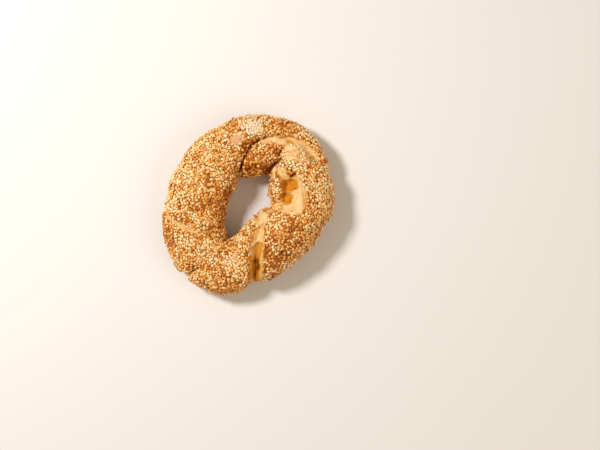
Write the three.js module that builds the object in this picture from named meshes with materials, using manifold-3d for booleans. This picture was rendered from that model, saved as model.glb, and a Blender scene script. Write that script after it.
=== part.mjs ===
// Simit: a ring of sesame bread. Two ropes of dough are wound round each other twice, joined into
// a ring, dipped in sesame seeds and baked lying flat, so it is one solid. Millimetres, +Z up,
// standing on z = 0 with the middle of its outline over the origin.
import * as THREE from "three";
import { mergeVertices } from "three/addons/utils/BufferGeometryUtils.js";
import Module from "manifold-3d";

const TURN = 360;
const DEGREE = Math.PI / 180;

// The ring from above: at is the ring angle, in degrees anticlockwise from +X, hole and rim are
// the radii of the inner and outer edge there, and crown is the height of the top.
const RING = table(
  ["at", "hole", "rim", "crown"],
  [
    [0, 20, 71.5, 37],
    [20, 20, 74.5, 36],
    [38, 23, 78, 34],
    [50, 31, 80, 31],
    [58, 30.5, 79.5, 30],
    [72, 25, 77.5, 31],
    [90, 24, 75, 33],
    [110, 23, 71.5, 35],
    [130, 18.5, 69.5, 36],
    [150, 17, 67, 37],
    [170, 17.5, 68.5, 36],
    [190, 20, 74, 34],
    [210, 23.5, 78, 33],
    [225, 28, 80.5, 33],
    [238, 32.5, 81, 32],
    [248, 28, 80, 32],
    [260, 19.5, 76.5, 33],
    [272, 14.5, 69.5, 34],
    [290, 12, 64.5, 36],
    [310, 11, 62.5, 38],
    [330, 12, 64.5, 38],
    [345, 15, 67.5, 38],
  ],
);
const WAIST = 0.44; // height of the ring's widest level, as a share of the crown
const TOP_FULLNESS = 0.82; // below 1 the section is fuller than an ellipse
const FOOT_FULLNESS = 0.8;
const FOOT_REACH = 1.2; // how far down the section would reach unclipped, as a share of the waist
const FOOT_ROUNDING = 1.2; // over which the wall turns into the flat underside

// The two seams between the ropes, each of which winds twice round the ring's section. across is
// the angle round the section, in degrees: 0 at the outer edge, 90 on top, 180 at the hole, 270
// below. deep is how deep the seam is and floor half the width of its bottom. left and right are
// the widths of its sides, seen along it, and easyLeft and easyRight say what share of a side is
// an easy slope, as on stretched dough, where the rest is the round flank of a rope.
const SEAM_COLUMNS = ["at", "across", "deep", "floor", "left", "right", "easyLeft", "easyRight"];
const SEAM_A = table(SEAM_COLUMNS, [
  [20, -6, 3.5, 0, 10, 7, 0.4, 0],
  [25, 16, 4, 0, 11, 6, 0.7, 0],
  [33, 33, 4.2, 0.2, 12, 6, 0.8, 0],
  [42, 42, 4.4, 0.3, 12, 6, 0.8, 0],
  [53, 53, 4.6, 0.4, 12, 6, 0.9, 0],
  [66, 64, 4.8, 0.5, 12, 5.5, 0.9, 0],
  [79, 76, 5.6, 0.6, 10, 5, 0.7, 0],
  [88, 96, 7.5, 0.6, 8, 5.5, 0.2, 0],
  [99, 126, 9, 0.8, 7, 7, 0, 0],
  [106, 163, 7, 0.6, 7, 8, 0, 0],
  [116, 198, 3.5, 0, 8, 10, 0, 0],
  [150, 228, 3, 0, 10, 10, 0, 0],
  [190, 250, 3.5, 0, 10, 10, 0, 0],
  [219, 315, 5, 0, 9, 9, 0, 0],
  [229, 385, 6, 0.4, 8, 9, 0, 0],
  [232, 425, 3.5, 0.4, 7, 8, 0.2, 0.2],
  [235, 450, 1.5, 0.2, 8, 8, 0.5, 0.5],
  [241, 480, 1.1, 0, 9, 9, 1, 1],
  [249, 512, 1.4, 0, 9, 9, 0.5, 0.5],
  [262, 560, 3, 0, 9, 9, 0, 0],
  [290, 612, 4, 0, 10, 10, 0, 0],
  [325, 650, 4, 0, 10, 10, 0, 0],
  [360, 675, 3.5, 0, 10, 9, 0, 0],
]);
const SEAM_B = table(SEAM_COLUMNS, [
  [185, 15, 4.5, 0, 9, 8, 0, 0],
  [193, 46, 3.5, 0.3, 8, 7, 0, 0.2],
  [200, 72, 3, 0.3, 9, 8, 0, 0.3],
  [219, 118, 3, 0.3, 9, 8, 0, 0.3],
  [233, 147, 4, 0.3, 9, 8, 0, 0],
  [246, 205, 3.5, 0, 9, 9, 0, 0],
  [260, 275, 4, 0, 9, 9, 0, 0],
  [269, 335, 3.5, 0.5, 9, 9, 0, 0],
  [274.5, 385, 4.5, 1.2, 8, 4.5, 0.5, 0.1],
  [280, 443, 5.5, 1.4, 9, 3.4, 0.7, 0],
  [286.5, 468, 4.5, 1.6, 8.5, 4.5, 0.7, 0.2],
  [299.5, 490, 3.4, 1.4, 7.5, 6, 0.7, 0.5],
  [328, 512, 2.2, 0.8, 7, 8, 0.6, 0.6],
  [346, 517, 2.6, 0.8, 6, 9, 0.5, 0.9],
  [358, 511, 3.6, 1.6, 5.5, 11, 0.6, 1],
  [368, 489, 4.6, 2.4, 6.5, 12, 1, 1],
  [379, 477, 4.6, 2.6, 6.5, 12, 1, 1],
  [390, 470, 4, 2.4, 6, 10, 1, 1],
  [401, 467, 1.6, 1.6, 6, 9, 0.9, 0.9],
  [410, 468, 3.2, 1, 6, 8, 0.5, 0.5],
  [416, 482, 8, 0.7, 6.5, 7, 0, 0],
  [420, 514, 9, 0.6, 7, 7, 0, 0],
  [428, 555, 5, 0.2, 8, 9, 0, 0],
  [450, 600, 4, 0, 9, 10, 0, 0],
  [485, 645, 3.5, 0, 10, 10, 0, 0],
  [520, 675, 4, 0, 10, 10, 0, 0],
  [537, 700, 4, 0, 10, 9, 0, 0],
]);
const SEAM_TURNS = 2;

// Swellings of the ropes. Each is round or oval and fades out: long is its half length along the
// ring and wide its half width over the section. turn turns it, in degrees.
const SWELLINGS = table(
  ["at", "across", "height", "long", "wide", "turn"],
  [
    [74, 118, 2, 15, 9, 0], // blunt end of the rope above the hole
    [94, 60, 2.6, 20, 12, 0], // the other rope, where it lies over that end
    [62, 40, 2.6, 16, 8, -14],
    [44, 26, 2.6, 20, 7, 0],
    [36, 150, 1.6, 16, 4.5, 0], // thin strand between the torn hollow and the ring's hole
    [66, 72, 0.8, 3.5, 2.5, 0],
  ],
);
// Slight waves all over: [height, waves round the ring, waves round the section, phase].
const WAVES = [
  [0.5, 5, 1, 0.7],
  [0.35, 11, 2, 2.1],
  [0.3, 17, -3, 4],
];

// Folds and hollows on top, seen from above. line is what each follows, as x, y and half width,
// and height is below 0 because each goes in. Edge 2 is soft, and 5 has steep sides.
const FOLDS = table(
  ["height", "edge", "line"],
  [
    // the torn hollow's two pits
    [-4.2, 5, [[31.9, 14.9, 4.9], [37.6, 16.4, 4.7]]],
    [-4.2, 5, [[29.8, 5.4, 4.6], [33.2, 4.9, 4.7]]],
    // the hollow and the groove of the strip at the front
    [-1.8, 3, [[10.2, -33.4, 2.2], [9, -38, 3.6], [8, -42.6, 3]]],
    [-3, 2, [[7.9, -47, 1.6], [7.6, -54, 2.2], [6.6, -65, 2.6]]],
    // the crease round the blunt end
    [-2.6, 2, [[28.9, 47.5, 1.6], [28.4, 40, 2], [25.5, 36.3, 2], [20.4, 33.8, 1.6]]],
  ],
);
const FOLDS_FROM = 4; // heights between which the folds fade in, so that none is on the underside
const FOLDS_WHOLE = 12;

const NET = { around: 180, over: 72 }; // points that the shape is worked out at
const NET_TOLERANCE = 0.42; // by which that net may move when it is thinned to fewer facets
const SEAM_STEP = 0.8; // between the places where a seam is traced

const SEED = { length: 3.2, width: 1.9, height: 1.1, sides: 6, taper: 0.25 };
const SEEDS = 196;
const SEED_TRIES = 24; // each seed takes the emptiest of so many places
const SEED_SUNK = 0.1; // how far a seed's middle lies under the crust
const SEED_CLEAR_OF_SEAM = 2.4;
const SEED_LOWEST = 2.5; // no seeds on the underside that it rests on
const RANDOM_DRAW = 20261;

// Where the skin tore and the dough on top is bare: lines seen from above, as x, y and half width.
const BARE = [
  [[14, -8, 4], [10.4, -15, 5.5], [9.8, -29.5, 5], [7.4, -40.4, 8], [5.5, -69, 8]],
  [[12.8, 53.3, 2.5], [22.1, 55.8, 4.5], [40, 53, 5.5], [51, 47, 5], [59.5, 40, 2]],
  [[22, 33, 3], [30.6, 28.4, 5], [35, 22, 4]],
  [[30, 15, 6], [37, 16, 6]],
  [[29, 5, 6], [34, 5, 6]],
  [[43.4, 21.8, 2], [43.6, 10.6, 5.5], [42.2, 0.5, 7.5]],
  [[24, -2, 3], [43, -2.6, 5]],
];
const BARE_FROM = 8; // height above which the dough there is bare

function table(columns, rows) {
  return rows.map((row) => Object.fromEntries(columns.map((key, i) => [key, row[i]])));
}

// A smooth curve through one column of a table, round the ring. It stays between its stations.
// gain is what the value grows by in one turn.
function curveThrough(stations, key, gain = 0) {
  const count = stations.length;
  const station = (i) => stations[((i % count) + count) % count];
  const at = (i) => station(i).at + TURN * Math.floor(i / count);
  const value = (i) => station(i)[key] + gain * Math.floor(i / count);
  const rise = (i) => (value(i + 1) - value(i)) / (at(i + 1) - at(i));
  const slope = (i) => {
    const [before, after] = [rise(i - 1), rise(i)];
    return before * after > 0 ? (2 * before * after) / (before + after) : 0;
  };
  return (angle) => {
    const turns = Math.floor((angle - at(0)) / TURN);
    const inTurn = angle - TURN * turns;
    let i = count - 1;
    while (at(i) > inTurn) i -= 1;
    const span = at(i + 1) - at(i);
    const t = (inTurn - at(i)) / span;
    const s = 1 - t;
    const start = value(i) * (1 + 2 * t) * s * s + slope(i) * span * t * s * s;
    const end = value(i + 1) * (3 - 2 * t) * t * t - slope(i + 1) * span * s * t * t;
    return start + end + gain * turns;
  };
}

const holeRadius = curveThrough(RING, "hole");
const rimRadius = curveThrough(RING, "rim");
const crownHeight = curveThrough(RING, "crown");

// A point of the plain ring, before its seams and swellings.
function plainPoint(at, across) {
  const [hole, rim, crown] = [holeRadius(at), rimRadius(at), crownHeight(at)];
  const radius = (rim + hole) / 2 + ((rim - hole) / 2) * Math.cos(across * DEGREE);
  const rise = Math.sin(across * DEGREE);
  const waist = WAIST * crown;
  const height =
    rise > 0
      ? waist + (crown - waist) * rise ** TOP_FULLNESS
      : waist - FOOT_REACH * waist * (-rise) ** FOOT_FULLNESS;
  const [x, y] = [radius * Math.cos(at * DEGREE), radius * Math.sin(at * DEGREE)];
  return new THREE.Vector3(x, y, height);
}

// The plain ring's own directions at a point: along the ring, over the section, and outwards.
function plainFrame(at, across) {
  const step = 0.5;
  const along = plainPoint(at + step, across).sub(plainPoint(at - step, across)).normalize();
  const over = plainPoint(at, across + step).sub(plainPoint(at, across - step)).normalize();
  const outward = along.clone().cross(over).normalize();
  return { along, over: outward.clone().cross(along), outward };
}

// The way that dough sinks or swells: up or down on top, and sideways at the sides.
function swellWay(at, across) {
  const sideways = Math.cos(across * DEGREE) ** 3;
  const [x, y] = [Math.cos(at * DEGREE), Math.sin(at * DEGREE)];
  return new THREE.Vector3(x * sideways, y * sideways, Math.sin(across * DEGREE)).normalize();
}

// A seam as even steps along its line on the plain ring, with its sizes at each.
function traceSeam(stations) {
  const acrossAt = curveThrough(stations, "across", SEAM_TURNS * TURN);
  const sizes = SEAM_COLUMNS.slice(2).map((key) => [key, curveThrough(stations, key)]);
  const steps = [];
  for (let at = 0; at < TURN; at += 0.1) {
    const point = plainPoint(at, acrossAt(at));
    const last = steps.at(-1);
    if (last && last.point.distanceTo(point) < SEAM_STEP) continue;
    const size = Object.fromEntries(sizes.map(([key, curve]) => [key, curve(at)]));
    steps.push({ at, point, size });
  }
  steps.forEach((step, i) => {
    const before = steps.at(i - 1).point;
    const after = steps[(i + 1) % steps.length].point;
    step.onward = after.clone().sub(before).normalize();
    step.left = plainFrame(step.at, acrossAt(step.at)).outward.cross(step.onward);
  });
  return steps;
}

const seams = new Map([SEAM_A, SEAM_B].map((stations) => [stations, traceSeam(stations)]));

// The step of a seam that lies nearest to a point, and how far to its left, or below 0 to its
// right, the point is.
function besideSeam(steps, point) {
  let nearest = steps[0];
  let least = Infinity;
  for (const step of steps) {
    const gap = step.point.distanceToSquared(point);
    if (gap < least) {
      least = gap;
      nearest = step;
    }
  }
  const reach = point.clone().sub(nearest.point);
  reach.addScaledVector(nearest.onward, -reach.dot(nearest.onward));
  return { step: nearest, offset: reach.length() * (reach.dot(nearest.left) < 0 ? -1 : 1) };
}

function seamDepth({ step, offset }) {
  const { deep, floor, left, right, easyLeft, easyRight } = step.size;
  const [width, easy] = offset > 0 ? [left, easyLeft] : [right, easyRight];
  const run = THREE.MathUtils.clamp((Math.abs(offset) - floor) / width, 0, 1);
  const flank = 1 - Math.sqrt(1 - (1 - run) ** 2);
  const slope = 1 - THREE.MathUtils.smoothstep(run, 0, 1);
  return deep * THREE.MathUtils.lerp(flank, slope, easy);
}

const swellings = SWELLINGS.map((swelling) => {
  const { along, over, outward } = plainFrame(swelling.at, swelling.across);
  const turn = swelling.turn * DEGREE;
  const point = plainPoint(swelling.at, swelling.across);
  const [long, wide] = [along.applyAxisAngle(outward, turn), over.applyAxisAngle(outward, turn)];
  return { ...swelling, point, axes: [long, wide, outward] };
});

function swellingHeight(point) {
  const heights = swellings.map(({ point: middle, axes, height, long, wide }) => {
    const reach = point.clone().sub(middle);
    const radii = [long, wide, long];
    const far = axes.reduce((sum, axis, i) => sum + (reach.dot(axis) / radii[i]) ** 2, 0);
    return height * Math.exp(-1.5 * far);
  });
  return heights.reduce((sum, height) => sum + height, 0);
}

function waveHeight(at, across) {
  const heights = WAVES.map(([height, round, over, phase]) => {
    return height * Math.sin((round * at + over * across) * DEGREE + phase);
  });
  return heights.reduce((sum, height) => sum + height, 0);
}

// How far a point lies from a line, seen from above, where 1 is its edge.
function besideLine(line, { x, y }) {
  const point = new THREE.Vector2(x, y);
  const ratios = line.slice(1).map(([x1, y1, wide1], i) => {
    const [x0, y0, wide0] = line[i];
    const [start, way] = [new THREE.Vector2(x0, y0), new THREE.Vector2(x1 - x0, y1 - y0)];
    const run = THREE.MathUtils.clamp(point.clone().sub(start).dot(way) / way.lengthSq(), 0, 1);
    return point.distanceTo(start.addScaledVector(way, run)) / THREE.MathUtils.lerp(wide0, wide1, run);
  });
  return Math.min(...ratios);
}

function foldHeight(point) {
  const heights = FOLDS.map(({ height, edge, line }) => {
    return height * 0.5 ** (besideLine(line, point) ** edge);
  });
  const whole = THREE.MathUtils.smoothstep(point.z, FOLDS_FROM, FOLDS_WHOLE);
  return heights.reduce((sum, height) => sum + height, 0) * whole;
}

// Flattens what would reach under the tray to z = 0, with a rounded turn.
function restOnTray(height) {
  if (height < -FOOT_ROUNDING) return 0;
  if (height > FOOT_ROUNDING) return height;
  return (height + FOOT_ROUNDING) ** 2 / (4 * FOOT_ROUNDING);
}

function breadPoint(at, across) {
  const plain = plainPoint(at, across);
  const depths = [...seams.values()].map((steps) => seamDepth(besideSeam(steps, plain)));
  const relief = swellingHeight(plain) + waveHeight(at, across) + foldHeight(plain);
  const point = plain.addScaledVector(swellWay(at, across), relief - Math.max(...depths));
  point.z = restOnTray(point.z);
  return point;
}

// The bread as one closed net of facets.
function breadGeometry() {
  const { around, over } = NET;
  const points = [];
  const facets = [];
  for (let i = 0; i < around; i += 1) {
    for (let j = 0; j < over; j += 1) {
      points.push(...breadPoint((i / around) * TURN, (j / over) * TURN));
      const corner = (row, column) => (row % around) * over + (column % over);
      const [a, b] = [corner(i, j), corner(i + 1, j)];
      const [c, d] = [corner(i + 1, j + 1), corner(i, j + 1)];
      facets.push(a, b, c, a, c, d);
    }
  }
  return new THREE.BufferGeometry()
    .setAttribute("position", new THREE.Float32BufferAttribute(points, 3))
    .setIndex(facets);
}

// A sesame seed: a flat lozenge, broad at one end and narrower at the other.
function seedGeometry() {
  const points = [
    [0, 0, SEED.height / 2],
    [0, 0, -SEED.height / 2],
  ];
  const facets = [];
  for (let i = 0; i < SEED.sides; i += 1) {
    const turn = ((i + 0.5) / SEED.sides) * TURN * DEGREE;
    const taper = 1 - SEED.taper * Math.cos(turn);
    points.push([(SEED.length / 2) * Math.cos(turn), (SEED.width / 2) * Math.sin(turn) * taper, 0]);
    const [here, next] = [2 + i, 2 + ((i + 1) % SEED.sides)];
    facets.push(0, here, next, 1, next, here);
  }
  return new THREE.BufferGeometry()
    .setAttribute("position", new THREE.Float32BufferAttribute(points.flat(), 3))
    .setIndex(facets);
}

function isBare(at, across) {
  const plain = plainPoint(at, across);
  for (const steps of seams.values()) {
    if (Math.abs(besideSeam(steps, plain).offset) < SEED_CLEAR_OF_SEAM) return true;
  }
  return plain.z > BARE_FROM && BARE.some((line) => besideLine(line, plain) < 1);
}

// A place on the crust for a seed, or nothing where the dough is bare.
function seedPlace(random) {
  const [at, across] = [TURN * random(), TURN * random()];
  const point = breadPoint(at, across);
  if (point.z < SEED_LOWEST || isBare(at, across)) return null;
  return { point, outward: swellWay(at, across) };
}

// Places spread evenly over the crust: each is the farthest of some tries from all the others.
function spreadPlaces(random) {
  const places = [];
  while (places.length < SEEDS) {
    let best = null;
    for (let tries = 0; tries < SEED_TRIES; tries += 1) {
      const place = seedPlace(random);
      if (!place) continue;
      const gaps = places.map((other) => other.point.distanceTo(place.point));
      place.room = Math.min(...gaps);
      if (!best || place.room > best.room) best = place;
    }
    places.push(best);
  }
  return places;
}

// The places as matrices for seeds that lie flat on the bread's facets, each turned its own way.
function seedMatrices(bread) {
  THREE.MathUtils.seededRandom(RANDOM_DRAW);
  const random = () => THREE.MathUtils.seededRandom();
  const facets = new THREE.Mesh(bread);
  return spreadPlaces(random).map(({ point, outward }) => {
    const start = point.clone().addScaledVector(outward, SEED.length);
    const [hit] = new THREE.Raycaster(start, outward.clone().negate()).intersectObject(facets);
    const up = hit.face.normal;
    const length = new THREE.Vector3(0, 1, 0).cross(up).normalize();
    length.applyAxisAngle(up, random() * TURN * DEGREE);
    const middle = hit.point.addScaledVector(up, -SEED_SUNK);
    return new THREE.Matrix4().makeBasis(length, up.clone().cross(length), up).setPosition(middle);
  });
}

const wasm = await Module();
wasm.setup();

function solid(geometry) {
  const merged = mergeVertices(geometry, 1e-4);
  return new wasm.Manifold(
    new wasm.Mesh({
      numProp: 3,
      vertProperties: merged.attributes.position.array,
      triVerts: new Uint32Array(merged.index.array),
    }),
  );
}

function geometryOf(manifold) {
  const { vertProperties, triVerts } = manifold.getMesh();
  return new THREE.BufferGeometry()
    .setAttribute("position", new THREE.BufferAttribute(vertProperties, 3))
    .setIndex(new THREE.BufferAttribute(triVerts, 1));
}

// The bread with its seeds fused on, and the middle of its outline over the origin.
function simitGeometry() {
  const bread = solid(breadGeometry()).simplify(NET_TOLERANCE);
  const seed = seedGeometry();
  const seeds = seedMatrices(geometryOf(bread)).map((matrix) => {
    return solid(seed.clone().applyMatrix4(matrix));
  });
  const geometry = geometryOf(seeds.reduce((fused, grain) => fused.add(grain), bread));
  geometry.computeBoundingBox();
  const { min } = geometry.boundingBox;
  const middle = geometry.boundingBox.getCenter(new THREE.Vector3());
  return geometry.translate(-middle.x, -middle.y, -min.z);
}

const crust = new THREE.MeshStandardMaterial({ color: 0xd9a05b, roughness: 0.7, metalness: 0 });
const simit = new THREE.Mesh(simitGeometry(), crust);
simit.name = "simit";

const group = new THREE.Group();
group.add(simit);

export default group;
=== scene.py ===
"""Simit: a ring of sesame bread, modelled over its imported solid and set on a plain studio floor."""

import math

import bpy
import numpy as np
from bpy.props import FloatProperty, FloatVectorProperty, IntProperty, PointerProperty
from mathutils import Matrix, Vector, noise
from mathutils.bvhtree import BVHTree
from mathutils.kdtree import KDTree


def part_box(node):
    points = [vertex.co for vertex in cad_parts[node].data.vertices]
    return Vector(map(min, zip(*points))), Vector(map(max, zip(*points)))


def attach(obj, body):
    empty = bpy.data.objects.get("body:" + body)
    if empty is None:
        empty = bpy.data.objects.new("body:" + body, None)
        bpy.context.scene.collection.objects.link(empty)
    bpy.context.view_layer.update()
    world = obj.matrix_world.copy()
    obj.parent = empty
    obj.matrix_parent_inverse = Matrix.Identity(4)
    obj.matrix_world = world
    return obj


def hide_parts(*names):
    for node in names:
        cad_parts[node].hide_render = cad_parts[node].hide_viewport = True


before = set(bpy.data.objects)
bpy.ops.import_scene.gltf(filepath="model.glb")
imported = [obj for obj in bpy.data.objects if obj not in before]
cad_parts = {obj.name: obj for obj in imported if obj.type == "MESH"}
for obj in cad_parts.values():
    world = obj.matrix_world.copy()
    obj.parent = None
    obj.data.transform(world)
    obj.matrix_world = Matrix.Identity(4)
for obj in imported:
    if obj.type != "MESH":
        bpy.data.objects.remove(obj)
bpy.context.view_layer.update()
SOLID_LOW, SOLID_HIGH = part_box("simit")

bl_info = {
    "name": "Simit",
    "version": (1, 0, 0),
    "blender": (4, 5, 0),
    "location": "View3D > Sidebar > Simit",
    "description": "Adds a twisted sesame bread ring, its seeds and a plain studio",
    "category": "Add Mesh",
}

MM = 0.001
TURN = 360.0

# ---------------------------------------------------------------------------------------------
# The ring of dough, in millimetres and degrees, as the solid has it
# ---------------------------------------------------------------------------------------------

# The ring from above: ring angle, radius of the hole, radius of the rim, height of the top.
RING = np.array([
    (0, 20, 71.5, 37), (20, 20, 74.5, 36), (38, 23, 78, 34), (50, 31, 80, 31),
    (58, 30.5, 79.5, 30), (72, 25, 77.5, 31), (90, 24, 75, 33), (110, 23, 71.5, 35),
    (130, 18.5, 69.5, 36), (150, 17, 67, 37), (170, 17.5, 68.5, 36), (190, 20, 74, 34),
    (210, 23.5, 78, 33), (225, 28, 80.5, 33), (238, 32.5, 81, 32), (248, 28, 80, 32),
    (260, 19.5, 76.5, 33), (272, 14.5, 69.5, 34), (290, 12, 64.5, 36), (310, 11, 62.5, 38),
    (330, 12, 64.5, 38), (345, 15, 67.5, 38),
])
WAIST = 0.44  # height of the widest level, as a share of the top
TOP_FULLNESS = 0.82
FOOT_FULLNESS = 0.8
FOOT_REACH = 1.2
FOOT_ROUNDING = 1.2
FOOT_LIFT = 0.4  # the crust's underside hangs this far up, on the seeds stuck to it
FOOT_TOP = 6  # height at which that lift has faded out

# The two seams between the ropes: ring angle, angle round the section (0 at the rim, 90 on top,
# 180 at the hole), depth, half width of the floor, widths of the left and right side, and the
# share of each side that slopes easily.
SEAM_A = np.array([
    (20, -6, 3.5, 0, 10, 7, 0.4, 0), (25, 16, 4, 0, 11, 6, 0.7, 0),
    (33, 33, 4.2, 0.2, 12, 6, 0.8, 0), (42, 42, 4.4, 0.3, 12, 6, 0.8, 0),
    (53, 53, 4.6, 0.4, 12, 6, 0.9, 0), (66, 64, 4.8, 0.5, 12, 5.5, 0.9, 0),
    (79, 76, 5.6, 0.6, 10, 5, 0.7, 0), (88, 96, 7.5, 0.6, 8, 5.5, 0.2, 0),
    (99, 126, 9, 0.8, 7, 7, 0, 0), (106, 163, 7, 0.6, 7, 8, 0, 0),
    (116, 198, 3.5, 0, 8, 10, 0, 0), (150, 228, 3, 0, 10, 10, 0, 0),
    (190, 250, 3.5, 0, 10, 10, 0, 0), (219, 315, 5, 0, 9, 9, 0, 0),
    (229, 385, 6, 0.4, 8, 9, 0, 0), (232, 425, 3.5, 0.4, 7, 8, 0.2, 0.2),
    (235, 450, 1.5, 0.2, 8, 8, 0.5, 0.5), (241, 480, 1.1, 0, 9, 9, 1, 1),
    (249, 512, 1.4, 0, 9, 9, 0.5, 0.5), (262, 560, 3, 0, 9, 9, 0, 0),
    (290, 612, 4, 0, 10, 10, 0, 0), (325, 650, 4, 0, 10, 10, 0, 0),
    (360, 675, 3.5, 0, 10, 9, 0, 0),
])
SEAM_B = np.array([
    (185, 15, 4.5, 0, 9, 8, 0, 0), (193, 46, 3.5, 0.3, 8, 7, 0, 0.2),
    (200, 72, 3, 0.3, 9, 8, 0, 0.3), (219, 118, 3, 0.3, 9, 8, 0, 0.3),
    (233, 147, 4, 0.3, 9, 8, 0, 0), (246, 205, 3.5, 0, 9, 9, 0, 0),
    (260, 275, 4, 0, 9, 9, 0, 0), (269, 335, 3.5, 0.5, 9, 9, 0, 0),
    (274.5, 385, 4.5, 1.2, 8, 4.5, 0.5, 0.1), (280, 443, 5.5, 1.4, 9, 3.4, 0.7, 0),
    (286.5, 468, 4.5, 1.6, 8.5, 4.5, 0.7, 0.2), (299.5, 490, 3.4, 1.4, 7.5, 6, 0.7, 0.5),
    (328, 512, 2.2, 0.8, 7, 8, 0.6, 0.6), (346, 517, 2.6, 0.8, 6, 9, 0.5, 0.9),
    (358, 511, 3.6, 1.6, 5.5, 11, 0.6, 1), (368, 489, 4.6, 2.4, 6.5, 12, 1, 1),
    (379, 477, 4.6, 2.6, 6.5, 12, 1, 1), (390, 470, 4, 2.4, 6, 10, 1, 1),
    (401, 467, 1.6, 1.6, 6, 9, 0.9, 0.9), (410, 468, 3.2, 1, 6, 8, 0.5, 0.5),
    (416, 482, 8, 0.7, 6.5, 7, 0, 0), (420, 514, 9, 0.6, 7, 7, 0, 0),
    (428, 555, 5, 0.2, 8, 9, 0, 0), (450, 600, 4, 0, 9, 10, 0, 0),
    (485, 645, 3.5, 0, 10, 10, 0, 0), (520, 675, 4, 0, 10, 10, 0, 0),
    (537, 700, 4, 0, 10, 9, 0, 0),
])
SEAM_TURNS = 2
SEAM_STEP = 0.8  # between the places at which a seam is traced

# Swellings: ring angle, section angle, height, half length, half width, turn.
SWELLINGS = [
    (74, 118, 2, 15, 9, 0),
    (94, 60, 2.6, 20, 12, 0),
    (62, 40, 2.6, 16, 8, -14),
    (44, 26, 2.6, 20, 7, 0),
    (36, 150, 1.6, 16, 4.5, 0),
    (66, 72, 0.8, 3.5, 2.5, 0),
]
SWELLING_EDGE = 1.5  # how quickly a swelling falls away
SIDE_SHARPNESS = 3  # how close to the sides dough swells sideways instead of up
# Slight waves all over: height, waves round the ring, waves round the section, phase.
WAVES = [(0.5, 5, 1, 0.7), (0.35, 11, 2, 2.1), (0.3, 17, -3, 4)]

# Folds and hollows on top, seen from above: height, sharpness of the edge, and the line that each
# follows, as x, y and half width. Sharpness 2 is soft, and 5 has steep sides.
FOLDS = [
    (-4.2, 5, [(31.9, 14.9, 4.9), (37.6, 16.4, 4.7)]),
    (-4.2, 5, [(29.8, 5.4, 4.6), (33.2, 4.9, 4.7)]),
    (-1.8, 3, [(10.2, -33.4, 2.2), (9, -38, 3.6), (8, -42.6, 3)]),
    (-3, 2, [(7.9, -47, 1.6), (7.6, -54, 2.2), (6.6, -65, 2.6)]),
    (-2.6, 2, [(28.9, 47.5, 1.6), (28.4, 40, 2), (25.5, 36.3, 2), (20.4, 33.8, 1.6)]),
]

# ---------------------------------------------------------------------------------------------
# Finer folds, bare dough and colours
# ---------------------------------------------------------------------------------------------

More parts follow.
